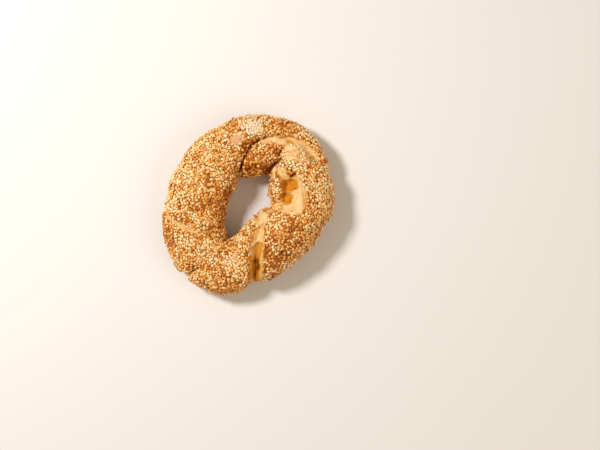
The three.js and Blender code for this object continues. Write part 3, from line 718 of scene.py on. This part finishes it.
class SimitCrustSettings(bpy.types.PropertyGroup):
    lumps: length_property("Lumps", "Height of the crust's soft lumps", 0.0007)
    lump_size: length_property("Lump size", "Width of the crust's soft lumps", 0.011)
    golden: colour_property("Golden crust", "Crust between the seeds", (0.42, 0.125, 0.007))
    # Brown crust is also the colour of painted shade on the hole's wall, in creases, in cracks and
    # under the inner rope's blunt end.
    brown: colour_property("Brown crust", "Crust where it baked darker", (0.19, 0.042, 0.003))
    dough: colour_property("Bare dough", "Dough where the skin stretched open", (0.79, 0.48, 0.19))
    cream: colour_property("Cream dough", "Palest parts of the bare dough", (0.82, 0.62, 0.33))
    honey: colour_property("Honey dough", "Shallow hollows of the bare dough", (0.60, 0.29, 0.045))
    hollow: colour_property("Torn hollow", "Orange dough deep inside a tear", (0.67, 0.25, 0.012))
    flour: colour_property("Floury patch", "Pale crust where seeds rubbed off", (0.82, 0.62, 0.45))
    rosy: colour_property("Rosy patch", "Smooth crust between sparse seeds", (0.82, 0.44, 0.19))


class SimitSeedSettings(bpy.types.PropertyGroup):
    length: length_property("Length", "Length of a sesame seed", 0.0034)
    width: length_property("Width", "Width of a sesame seed", 0.00195)
    thickness: length_property("Thickness", "Thickness of a sesame seed", 0.0011)
    spacing: length_property("Spacing", "Least distance between two seeds at first", 0.0017)
    draw: IntProperty(name="Random draw", description="Which of many scatterings", default=12)
    pale: colour_property("Pale", "Least toasted seeds", (0.96, 0.715, 0.40))
    golden: colour_property("Golden", "Evenly toasted seeds", (0.89, 0.50, 0.15))
    toasted: colour_property("Toasted", "Darkest seeds", (0.72, 0.25, 0.022))
    frosted: colour_property("Frosted", "Seeds where the bread is floury", (0.90, 0.74, 0.57))


class SimitStageSettings(bpy.types.PropertyGroup):
    floor: colour_property("Floor", "Plain floor", (0.80, 0.79, 0.79))
    camera_height: length_property("Camera height", "Camera above the floor", 1.25)
    view_width: length_property("View width", "Width of floor in view", 0.51)
    aside_x: length_property("Aside X", "Middle of the view from the ring's, along X", 0.0442, -1)
    aside_y: length_property("Aside Y", "Middle of the view from the ring's, along Y", -0.0174, -1)


# ---------------------------------------------------------------------------------------------
# Materials
# ---------------------------------------------------------------------------------------------

CLOUDS_IN_BROWNING = 0.65
FRECKLES_IN_BROWNING = 0.35
# How light goes into dough and seeds: how much of it, and how far its red, green and blue go.
SOFTNESS = {"Subsurface Weight": 0.35, "Subsurface Radius": (1.0, 0.45, 0.18)}


class Nodes:
    """Adds nodes to a material or a node group in one line each."""

    def __init__(self, tree):
        self.tree = tree

    def add(self, kind, **settings):
        node = self.tree.nodes.new(kind)
        for name, value in settings.items():
            setattr(node, name, value)
        return node

    def link(self, source, target):
        self.tree.links.new(source, target)

    def fill(self, socket, value):
        if isinstance(value, bpy.types.NodeSocket):
            self.link(value, socket)
        else:
            socket.default_value = value

    def fill_all(self, node, values):
        for name, value in values.items():
            self.fill(node.inputs[name], value)

    def math(self, operation, a, b, clamp=False):
        node = self.add("ShaderNodeMath", operation=operation, use_clamp=clamp)
        self.fill(node.inputs[0], a)
        self.fill(node.inputs[1], b)
        return node.outputs[0]

    def plus(self, a, b):
        return self.math("ADD", a, b)

    def times(self, a, b, clamp=False):
        return self.math("MULTIPLY", a, b, clamp)

    def mix(self, factor, a, b):
        node = self.add("ShaderNodeMix", data_type="RGBA")
        self.fill_all(node, {"Factor": factor, "A": a, "B": b})
        return node.outputs["Result"]

    def range(self, value, low, high, to_low=0.0, to_high=1.0):
        node = self.add("ShaderNodeMapRange", clamp=True)
        for socket, number in zip(node.inputs, (value, low, high, to_low, to_high)):
            self.fill(socket, number)
        return node.outputs["Result"]

    def noise(self, vector, scale, detail=3.0, roughness=0.55):
        node = self.add("ShaderNodeTexNoise")
        values = {"Vector": vector, "Scale": scale, "Detail": detail, "Roughness": roughness}
        self.fill_all(node, values)
        return node.outputs["Fac"]

    def bump(self, height, strength, distance):
        node = self.add("ShaderNodeBump")
        self.fill_all(node, {"Height": height, "Strength": strength, "Distance": distance})
        return node.outputs["Normal"]

    def attribute(self, name, output="Fac"):
        return self.add("ShaderNodeAttribute", attribute_name=name).outputs[output]


def colour4(colour):
    return (*colour, 1.0)


def toasting_group():
    """Node group that browns a colour in soft clouds and fine freckles, made when first asked for."""
    tree = bpy.data.node_groups.get("Toasting")
    if tree:
        return tree
    tree = bpy.data.node_groups.new("Toasting", "ShaderNodeTree")
    sockets = (
        ("Colour", "NodeSocketColor"), ("Browned", "NodeSocketColor"), ("Amount", "NodeSocketFloat"),
        ("Cloud scale", "NodeSocketFloat"), ("Freckle scale", "NodeSocketFloat"),
    )
    for name, kind in sockets:
        tree.interface.new_socket(name, in_out="INPUT", socket_type=kind)
    tree.interface.new_socket("Colour", in_out="OUTPUT", socket_type="NodeSocketColor")
    nodes = Nodes(tree)
    given = nodes.add("NodeGroupInput").outputs
    result = nodes.add("NodeGroupOutput").inputs
    place = nodes.add("ShaderNodeTexCoord").outputs["Object"]
    clouds = nodes.range(nodes.noise(place, given["Cloud scale"]), 0.34, 0.68)
    freckles = nodes.range(nodes.noise(place, given["Freckle scale"], detail=2.0), 0.42, 0.72)
    browning = nodes.plus(
        nodes.times(clouds, CLOUDS_IN_BROWNING), nodes.times(freckles, FRECKLES_IN_BROWNING)
    )
    browning = nodes.times(browning, given["Amount"], clamp=True)
    nodes.link(nodes.mix(browning, given["Colour"], given["Browned"]), result["Colour"])
    return tree


def new_material(name):
    material = bpy.data.materials.new(name)
    material.use_nodes = True
    nodes = Nodes(material.node_tree)
    return material, nodes, material.node_tree.nodes["Principled BSDF"]


def add_toasting(nodes, colour, browned, amount, cloud_scale, freckle_scale):
    """The colour, browned by an amount that changes over the surface."""
    node = nodes.add("ShaderNodeGroup", node_tree=toasting_group())
    values = (colour4(colour), colour4(browned), amount, cloud_scale, freckle_scale)
    for socket, value in zip(node.inputs, values):
        nodes.fill(socket, value)
    return node.outputs["Colour"]


def skin_colour(nodes, crust, rosy):
    """Golden crust, browned by its mark: real browning, and painted shade on the hole's wall, in
    creases and under the inner rope's blunt end, with rosy and floury patches.
    """
    amount = nodes.plus(0.6, nodes.times(nodes.attribute("baked"), 1.6))
    skin = add_toasting(
        nodes, crust.golden, crust.brown, amount, cloud_scale=70.0, freckle_scale=700.0
    )
    skin = nodes.mix(rosy, skin, colour4(crust.rosy))
    return nodes.mix(nodes.attribute("pale"), skin, colour4(crust.flour))


def dough_colour(nodes, crust, place, rosy, mottle, streaks):
    """Stretched dough, mottled and streaked from cream to brown as its tone says."""
    pale = nodes.attribute("pale")
    mottled = nodes.plus(mottle, nodes.times(streaks, 0.8))
    dough = nodes.mix(nodes.range(mottled, 0.7, 1.05), colour4(crust.dough), colour4(crust.cream))
    warm = nodes.range(nodes.noise(place, 110.0, detail=5.0), 0.5, 0.8, to_high=0.18)
    dough = nodes.mix(warm, dough, colour4(crust.rosy))
    dough = nodes.mix(rosy, dough, colour4(crust.rosy))
    dough = nodes.mix(pale, dough, colour4(crust.cream))
    uneven_tone = nodes.range(mottled, 0.6, 1.1, to_low=1.35, to_high=0.8)
    shade = nodes.times(nodes.attribute("tone"), uneven_tone)
    shade = nodes.times(shade, nodes.range(pale, 0.0, 1.0, to_low=1.0, to_high=0.3))
    reached = 0.0
    for tone, colour in ((HONEY, crust.honey), (ORANGE, crust.hollow), (BROWN, crust.brown)):
        dough = nodes.mix(nodes.range(shade, reached, tone), dough, colour4(colour))
        reached = tone
    return dough


def crust_relief(nodes, place, bare, streaks):
    """Pores, the crumb of torn dough and the streaks of stretched dough."""
    pores = nodes.times(nodes.noise(place, 1500.0, roughness=0.6), 0.35)
    pores = nodes.plus(pores, nodes.noise(place, 420.0, detail=4.0, roughness=0.6))
    torn = nodes.range(nodes.attribute("tone"), 0.7, 1.0)
    crumb = nodes.times(nodes.noise(place, 520.0, detail=4.0, roughness=0.65), torn)
    return nodes.plus(nodes.plus(pores, nodes.times(crumb, 1.2)), nodes.times(streaks, bare))


def crust_material(crust):
    """Baked crust that turns to stretched, pale dough in the tears and to rubbed, rosy patches."""
    material, nodes, shader = new_material("crust")
    place = nodes.add("ShaderNodeTexCoord").outputs["Object"]
    bare = nodes.attribute("bare")
    mottle = nodes.noise(place, 230.0, detail=4.0)
    streaks = nodes.noise(nodes.attribute("grain", "Vector"), 1.0, roughness=0.5)
    rosy = nodes.times(
        nodes.attribute("rosy"), nodes.range(mottle, 0.38, 0.62, to_low=0.6, to_high=1.0)
    )
    skin = skin_colour(nodes, crust, rosy)
    dough = dough_colour(nodes, crust, place, rosy, mottle, streaks)
    relief = crust_relief(nodes, place, bare, streaks)
    nodes.fill_all(shader, {
        "Base Color": nodes.mix(nodes.range(bare, 0.3, 0.75), skin, dough),
        "Roughness": nodes.range(bare, 0.2, 0.9, to_low=0.6, to_high=0.5),
        "Specular IOR Level": 0.1,
        "Subsurface Scale": 0.0015,
        "Normal": nodes.bump(relief, strength=0.55, distance=0.00045),
        **SOFTNESS,
    })
    return material


def seed_material(kind, colour, browned, frosted):
    """A hulled sesame seed: satin, with its tip and its neighbours toasted a little differently."""
    material, nodes, shader = new_material("sesame_" + kind)
    place = nodes.add("ShaderNodeTexCoord").outputs["Object"]
    tone = nodes.attribute("tone")
    amount = nodes.plus(nodes.times(tone, 0.7), nodes.times(nodes.attribute("tip"), 0.5))
    seed = add_toasting(
        nodes, colour, browned, amount, cloud_scale=160.0, freckle_scale=1800.0
    )
    seed = nodes.mix(nodes.times(tone, 0.4), seed, colour4(browned))
    grain = nodes.noise(place, 2600.0, detail=2.0)
    nodes.fill_all(shader, {
        "Base Color": nodes.mix(nodes.attribute("frost"), seed, colour4(frosted)),
        "Roughness": 0.31,
        "Specular IOR Level": 0.42,
        "Subsurface Scale": 0.0008,
        "Normal": nodes.bump(grain, strength=0.25, distance=0.0001),
        **SOFTNESS,
    })
    return material


def floor_material(colour):
    material, nodes, shader = new_material("studio_floor")
    values = {"Base Color": colour4(colour), "Roughness": 0.9, "Specular IOR Level": 0.1}
    nodes.fill_all(shader, values)
    return material


# ---------------------------------------------------------------------------------------------
# Pieces
# ---------------------------------------------------------------------------------------------

def deselect_all():
    bpy.ops.object.select_all(action="DESELECT")


def mesh_positions(mesh):
    values = np.empty(len(mesh.vertices) * 3)
    mesh.vertices.foreach_get("co", values)
    return values.reshape(-1, 3)


def set_positions(mesh, points):
    mesh.vertices.foreach_set("co", np.asarray(points, float).ravel())
    mesh.update()


def store(mesh, name, values):
    """Keeps one number or vector for each vertex, for the materials to read."""
    values = np.asarray(values, np.float32)
    if values.ndim == 1:
        mesh.attributes.new(name, "FLOAT", "POINT").data.foreach_set("value", values)
    else:
        mesh.attributes.new(name, "FLOAT_VECTOR", "POINT").data.foreach_set("vector", values.ravel())


def read(mesh, name):
    values = np.empty(len(mesh.vertices), np.float32)
    mesh.attributes[name].data.foreach_get("value", values)
    return values


def add_lumps(piece, strength, size):
    """Presses the soft lumps of baked dough into the mesh."""
    texture = bpy.data.textures.new("dough_lumps", "CLOUDS")
    texture.noise_scale = size
    texture.noise_depth = 2
    modifier = piece.modifiers.new("Lumps", "DISPLACE")
    modifier.texture = texture
    modifier.texture_coords = "LOCAL"
    modifier.strength = strength * 2
    modifier.mid_level = 0.5
    bpy.ops.object.modifier_apply(modifier=modifier.name)
    bpy.data.textures.remove(texture)


def crowded_angles(points):
    """Ring and section angles for the points of a torus, crowded on top and beside the tears."""
    at = np.degrees(np.arctan2(points[:, 1], points[:, 0]))
    at -= CROWDED_BY_TEARS * np.sin(np.radians(at - TORN_SIDE))
    out = np.hypot(points[:, 0], points[:, 1]) - TORUS_RADIUS
    across = np.degrees(np.arctan2(points[:, 2], out))
    return at, across + CROWDED_ON_TOP * np.cos(np.radians(across))


class SIMIT_OT_bread(bpy.types.Operator):
    """Add the twisted ring of dough with its seams, tears and crust"""

    bl_idname = "simit.bread"
    bl_label = "Add bread"

    def execute(self, context):
        crust = context.scene.simit_crust
        deselect_all()
        bpy.ops.mesh.primitive_torus_add(
            major_segments=TORUS_AROUND, minor_segments=TORUS_OVER,
            major_radius=TORUS_RADIUS, minor_radius=TORUS_THICKNESS, generate_uvs=False,
        )
        bpy.ops.object.mode_set(mode="EDIT")
        bpy.ops.mesh.subdivide(number_cuts=1)
        bpy.ops.object.mode_set(mode="OBJECT")
        bread = context.object
        bread.name = bread.data.name = "bread"
        at, across = crowded_angles(mesh_positions(bread.data))
        points, marks = shape_ring(at, across)
        middle = (points.min(0) + points.max(0)) / 2
        solid_middle = (np.array(SOLID_LOW) + np.array(SOLID_HIGH)) / 2 / MM
        points[:, :2] += (solid_middle - middle)[:2]
        finish = baking_and_shade_marks(at, across, points, marks)
        finish.update(bare=marks["bare"], tone=marks["tone"], grain=marks["grain"] * STREAKS)
        set_positions(bread.data, points * MM)
        add_lumps(bread, crust.lumps, crust.lump_size)
        lumpy = mesh_positions(bread.data)
        lumpy[:, 2] = np.maximum(lumpy[:, 2], FLOOR_GAP * MM)
        set_positions(bread.data, lumpy)
        for name, values in finish.items():
            store(bread.data, name, values)
        bpy.ops.object.shade_smooth()
        bread.data.materials.append(crust_material(crust))
        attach(bread, "root")
        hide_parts("simit")
        return {"FINISHED"}


def scatter(bread, spacing, draw):
    """First places for the seeds, none too close together, as thick as the crust is covered."""
    mesh = bread.data
    points = mesh_positions(mesh)
    corners = np.empty(len(mesh.polygons) * 4, int)
    mesh.polygons.foreach_get("vertices", corners)
    corners = corners.reshape(-1, 4)
    areas = np.empty(len(mesh.polygons))
    mesh.polygons.foreach_get("area", areas)
    picked = draw.choice(len(corners), CANDIDATES, p=areas / areas.sum())
    u, v = draw.random(CANDIDATES), draw.random(CANDIDATES)
    weights = np.stack([(1 - u) * (1 - v), u * (1 - v), u * v, (1 - u) * v], -1)
    places = (points[corners[picked]] * weights[:, :, None]).sum(1)
    cover = (read(mesh, "cover")[corners[picked]] * weights).sum(1)
    cover *= COVERED + COVER_CLOUDS * noise_at(places / MM, width=5, start=2)
    chance = draw.random(CANDIDATES)
    cell_of = np.floor(places / spacing).astype(int).tolist()
    least = spacing ** 2
    cells = {}
    kept = []
    for index, (x, y, z) in enumerate(places.tolist()):
        i, j, k = cell_of[index]
        crowded = any(
            (ox - x) ** 2 + (oy - y) ** 2 + (oz - z) ** 2 < least
            for near in around_cell(i, j, k) for ox, oy, oz in cells.get(near, ())
        )
        if crowded:
            continue
        cells.setdefault((i, j, k), []).append((x, y, z))
        if chance[index] < cover[index]:
            kept.append(index)
    return places[kept], read(mesh, "bare")[corners[picked[kept], 0]] > HALF_BARE


def around_cell(i, j, k):
    return [(i + a, j + b, k + c) for a in (-1, 0, 1) for b in (-1, 0, 1) for c in (-1, 0, 1)]


def on_surface(tree, places):
    """The nearest point, the outward normal and the face of the bread for each place."""
    found = [tree.find_nearest(Vector(place)) for place in places]
    return tuple(np.array([hit[part] for hit in found]) for part in range(3))


def near_pairs(places, reach):
    """Both seeds of each pair whose places are within reach of each other."""
    tree = KDTree(len(places))
    for index, place in enumerate(places):
        tree.insert(place, index)
    tree.balance()
    pairs = [
        (index, other) for index, place in enumerate(places)
        for _, other, _ in tree.find_range(place, reach) if index < other
    ]
    return np.array(pairs).T


def closest(places, ways, first, second, spine):
    """For pairs of seeds: the way between their nearest parts, its length, and where they are."""
    along = places[:, None] + ways[:, None] * spine[None, :, None]
    gaps = along[first][:, :, None] - along[second][:, None]
    far = np.linalg.norm(gaps, axis=-1).reshape(len(first), -1)
    nearest = far.argmin(1)
    a, b = np.divmod(nearest, len(spine))
    row = np.arange(len(first))
    return gaps[row, a, b], far[row, nearest], spine[a], spine[b]


def settle(tree, places, size, draw):
    """Turns and shifts the seeds until they lie beside each other as far as there is room."""
    places, normals, _ = on_surface(tree, places)
    helper = np.where(np.abs(normals[:, 2:3]) > 0.9, [[1.0, 0, 0]], [[0, 0, 1.0]])
    level = unit(np.cross(helper, normals))
    turn = draw.random((len(places), 1)) * 2 * math.pi
    ways = np.cos(turn) * level + np.sin(turn) * np.cross(normals, level)
    spine = SPINE * size[0]
    first, second = near_pairs(places, size[0] * TOUCHING_REACH)
    for _ in range(SETTLING_ROUNDS):
        away, far, at_first, at_second = closest(places, ways, first, second, spine)
        push = np.clip(size[1] * BESIDE - far, 0, None) / np.maximum(far, 1e-6) * PUSH
        push = away * push[:, None]
        moves, turns = np.zeros_like(places), np.zeros_like(places)
        np.add.at(moves, first, push)
        np.add.at(moves, second, -push)
        np.add.at(turns, first, push * at_first[:, None])
        np.add.at(turns, second, -push * at_second[:, None])
        places = places + SHIFT * along_surface(moves, normals)
        ways = ways + turns * SWIVEL / size[0] ** 2
        ways = unit(along_surface(ways, normals))
    places, normals, faces = on_surface(tree, places)
    ways = unit(along_surface(ways, normals))
    return places, ways, normals, faces


def lean(places, ways, normals, size):
    """How far each seed is raised, and which way it leans, where it lies on its neighbour."""
    spine = SPINE * size[0]
    first, second = near_pairs(places, size[0] * TOUCHING_REACH)
    away, far, _, _ = closest(places, ways, first, second, spine)
    over = np.clip(OVERLAP - far / size[1], 0, OVERLAP)
    raised = np.zeros(len(places))
    np.maximum.at(raised, second, over)
    leaning = np.zeros_like(places)
    np.add.at(leaning, second, -away / np.maximum(far, 1e-6)[:, None] * over[:, None])
    return raised * size[2], along_surface(leaning, normals)


def model_seed(size):
    """One sesame seed, a flat drop with a broad and a pointed end: its points, faces and tip."""
    deselect_all()
    bpy.ops.mesh.primitive_uv_sphere_add(segments=SEED_SEGMENTS, ring_count=SEED_RINGS, radius=0.5)
    seed = bpy.context.object
    ball = mesh_positions(seed.data)
    along = ball[:, 2] * 2
    drop = 1 - SEED_TAPER * along - SEED_ROUNDING * along ** 2
    wide, thick = SEED_FULLNESS
    points = np.stack([along / 2, ball[:, 0] * drop * wide, ball[:, 1] * drop * thick], -1) * size
    mesh = seed.data
    # A ball's faces come in another order each time, so they are sorted.
    faces = sorted([list(polygon.vertices) for polygon in mesh.polygons], key=sorted)
    bpy.data.objects.remove(seed)
    bpy.data.meshes.remove(mesh)
    return points, faces, smoothstep(*SEED_TIP, along)


def join_copies(name, shape, frames, places, marks):
    """One mesh of many copies of a seed, each in its own frame and none under the floor."""
    points, faces, tip = shape
    count, size = len(places), len(points)
    vertices = np.einsum("pk,skj->spj", points, frames) + places[:, None]
    vertices[:, :, 2] += np.maximum(0, -vertices[:, :, 2].min(1))[:, None]
    corners = np.concatenate([np.array(face) for face in faces])
    totals = np.array([len(face) for face in faces])
    loops = (corners[None] + np.arange(count)[:, None] * size).ravel()
    totals = np.tile(totals, count)
    mesh = bpy.data.meshes.new(name)
    mesh.vertices.add(count * size)
    mesh.loops.add(len(loops))
    mesh.polygons.add(len(totals))
    mesh.vertices.foreach_set("co", vertices.ravel())
    mesh.loops.foreach_set("vertex_index", loops)
    mesh.polygons.foreach_set("loop_start", np.concatenate([[0], np.cumsum(totals)[:-1]]))
    mesh.update(calc_edges=True)
    mesh.validate()
    for mark, values in marks.items():
        store(mesh, mark, np.repeat(values, size))
    store(mesh, "tip", np.tile(tip, count))
    piece = bpy.data.objects.new(name, mesh)
    bpy.context.scene.collection.objects.link(piece)
    return piece


def pose_seeds(places, ways, normals, size, draw):
    """Lifts, tilts and sizes the seeds. Also says which of them have room below them."""
    lifts, leaning = lean(places, ways, normals, size)
    lifts += size[2] * SEED_LIFT
    riders = draw.random(len(places)) < RIDERS
    under = smoothstep(PRESSED_FLAT[0] * MM, PRESSED_FLAT[1] * MM, places[:, 2])
    lifts = np.where(riders, lifts + size[2] * RIDER_LIFT, lifts) * (1 - under)
    tilt = draw.normal(0, 1, (len(places), 2)) * np.where(riders, RIDER_TILT, TILT)[:, None]
    sides = np.cross(normals, ways)
    ups = unit(normals + LEANING * leaning + ways * tilt[:, :1] + sides * tilt[:, 1:])
    ways = unit(along_surface(ways, ups))
    spread = draw.normal(0, SEED_SPREAD, (len(places), 3)).clip(-MOST_SPREAD, MOST_SPREAD)
    frames = np.stack([ways, np.cross(ups, ways), ups], 1) * (1 + spread)[:, :, None]
    return places + normals * lifts[:, None], frames, ~(riders & (under > 0))


def seed_heat_and_shade(places, marks, draw):
    """How dark each seed is: toasted by chance, with the crust under it and by where it lies, and
    darkened as painted shade where the crust's mark and the table hold shade.
    """
    heat_and_shade = draw.normal(HEAT, HEAT_SPREAD, len(places))
    heat_and_shade = heat_and_shade + BAKED_AND_SHADED_HEAT * marks["baked"] - PALE_HEAT * marks["pale"]
    heat_and_shade += HEAT_CLOUDS * noise_at(places / MM, width=13, start=6)
    for x, y, reach, change in TOASTING_AND_SHADE:
        away = np.hypot(places[:, 0] / MM - x, places[:, 1] / MM - y)
        heat_and_shade += change * np.exp(-(away / reach) ** 2)
    return heat_and_shade


class SIMIT_OT_seeds(bpy.types.Operator):
    """Add the sesame seeds, one piece for each degree of darkness, from toasting and from painted
    shade
    """

    bl_idname = "simit.seeds"
    bl_label = "Add sesame seeds"

    def execute(self, context):
        seeds = context.scene.simit_seeds
        draw = np.random.default_rng(seeds.draw)
        size = np.array([seeds.length, seeds.width, seeds.thickness])
        bread = bpy.data.objects["bread"]
        tree = BVHTree.FromObject(bread, context.evaluated_depsgraph_get())
        starts, strays = scatter(bread, seeds.spacing, draw)
        places, ways, normals, faces = settle(tree, starts, size, draw)
        corner = np.array([polygon.vertices[0] for polygon in bread.data.polygons])[faces]
        marks = {name: read(bread.data, name)[corner] for name in ("bare", "baked", "pale")}
        places, frames, fits = pose_seeds(places, ways, normals, size, draw)
        stays = fits & (strays | (marks["bare"] < HALF_BARE))
        # Seeds in painted shade take the darker kinds.
        kind = np.digitize(seed_heat_and_shade(places, marks, draw), KIND_LIMITS)
        tones = draw.random(len(places))
        frost = marks["pale"] * (FROST[0] + FROST[1] * draw.random(len(places)))
        shape = model_seed(size)
        colours = (seeds.pale, seeds.golden, seeds.toasted, context.scene.simit_crust.brown)
        for number, (colour, browned) in enumerate(zip(colours, colours[1:])):
            name = SEED_KINDS[number]
            chosen = stays & (kind == number)
            own = {"tone": tones[chosen], "frost": frost[chosen]}
            piece = join_copies("sesame_" + name, shape, frames[chosen], places[chosen], own)
            deselect_all()
            piece.select_set(True)
            context.view_layer.objects.active = piece
            bpy.ops.object.shade_smooth()
            piece.data.materials.append(seed_material(name, colour, browned, seeds.frosted))
            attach(piece, "root")
        return {"FINISHED"}


def add_area_light(name, place, size, power, colour):
    bpy.ops.object.light_add(type="AREA", location=place)
    light = bpy.context.object
    light.name = name
    light.data.shape = "DISK"
    light.data.size = size
    light.data.energy = power
    light.data.color = colour
    light.rotation_euler = (Vector(LIT_POINT) - Vector(place)).to_track_quat("-Z", "Y").to_euler()


class SIMIT_OT_stage(bpy.types.Operator):
    """Add the plain floor, the soft lights and the camera"""

    bl_idname = "simit.stage"
    bl_label = "Add stage"

    def execute(self, context):
        scene = context.scene
        stage = scene.simit_stage
        deselect_all()
        bpy.ops.mesh.primitive_plane_add(size=FLOOR_WIDTH)
        floor = context.object
        floor.name = "studio_floor"
        floor.data.materials.append(floor_material(stage.floor))
        for light in LIGHTS:
            add_area_light(*light)
        world = bpy.data.worlds.new("studio_air")
        scene.world = world
        world.use_nodes = True
        background = world.node_tree.nodes["Background"]
        background.inputs["Color"].default_value = colour4(AIR_COLOUR)
        background.inputs["Strength"].default_value = AIR_STRENGTH
        scene.view_settings.view_transform = "Standard"
        scene.view_settings.look = "None"
        bpy.ops.object.camera_add(
            location=(stage.aside_x, stage.aside_y, stage.camera_height), rotation=(0, 0, 0)
        )
        camera = context.object
        middle = (SOLID_HIGH[2] - SOLID_LOW[2]) / 2
        distance = stage.camera_height - middle
        camera.data.sensor_width = SENSOR_WIDTH
        camera.data.lens = SENSOR_WIDTH * distance / stage.view_width
        camera.data.dof.use_dof = False
        scene.camera = camera
        return {"FINISHED"}


class SIMIT_PT_panel(bpy.types.Panel):
    """Sizes, colours and steps of the simit"""

    bl_label = "Simit"
    bl_idname = "SIMIT_PT_panel"
    bl_space_type = "VIEW_3D"
    bl_region_type = "UI"
    bl_category = "Simit"

    def draw(self, context):
        steps = (
            (SIMIT_OT_bread, context.scene.simit_crust),
            (SIMIT_OT_seeds, context.scene.simit_seeds),
            (SIMIT_OT_stage, context.scene.simit_stage),
        )
        for operator, settings in steps:
            box = self.layout.box()
            for name in settings.__annotations__:
                box.prop(settings, name)
            box.operator(operator.bl_idname)


CLASSES = (
    SimitCrustSettings,
    SimitSeedSettings,
    SimitStageSettings,
    SIMIT_OT_bread,
    SIMIT_OT_seeds,
    SIMIT_OT_stage,
    SIMIT_PT_panel,
)


def register():
    for item in CLASSES:
        bpy.utils.register_class(item)
    bpy.types.Scene.simit_crust = PointerProperty(type=SimitCrustSettings)
    bpy.types.Scene.simit_seeds = PointerProperty(type=SimitSeedSettings)
    bpy.types.Scene.simit_stage = PointerProperty(type=SimitStageSettings)


def unregister():
    del bpy.types.Scene.simit_stage
    del bpy.types.Scene.simit_seeds
    del bpy.types.Scene.simit_crust
    for item in reversed(CLASSES):
        bpy.utils.unregister_class(item)


def main():
    register()
    bpy.ops.simit.stage()
    bpy.ops.simit.bread()
    bpy.ops.simit.seeds()


if __name__ == "__main__":
    main()
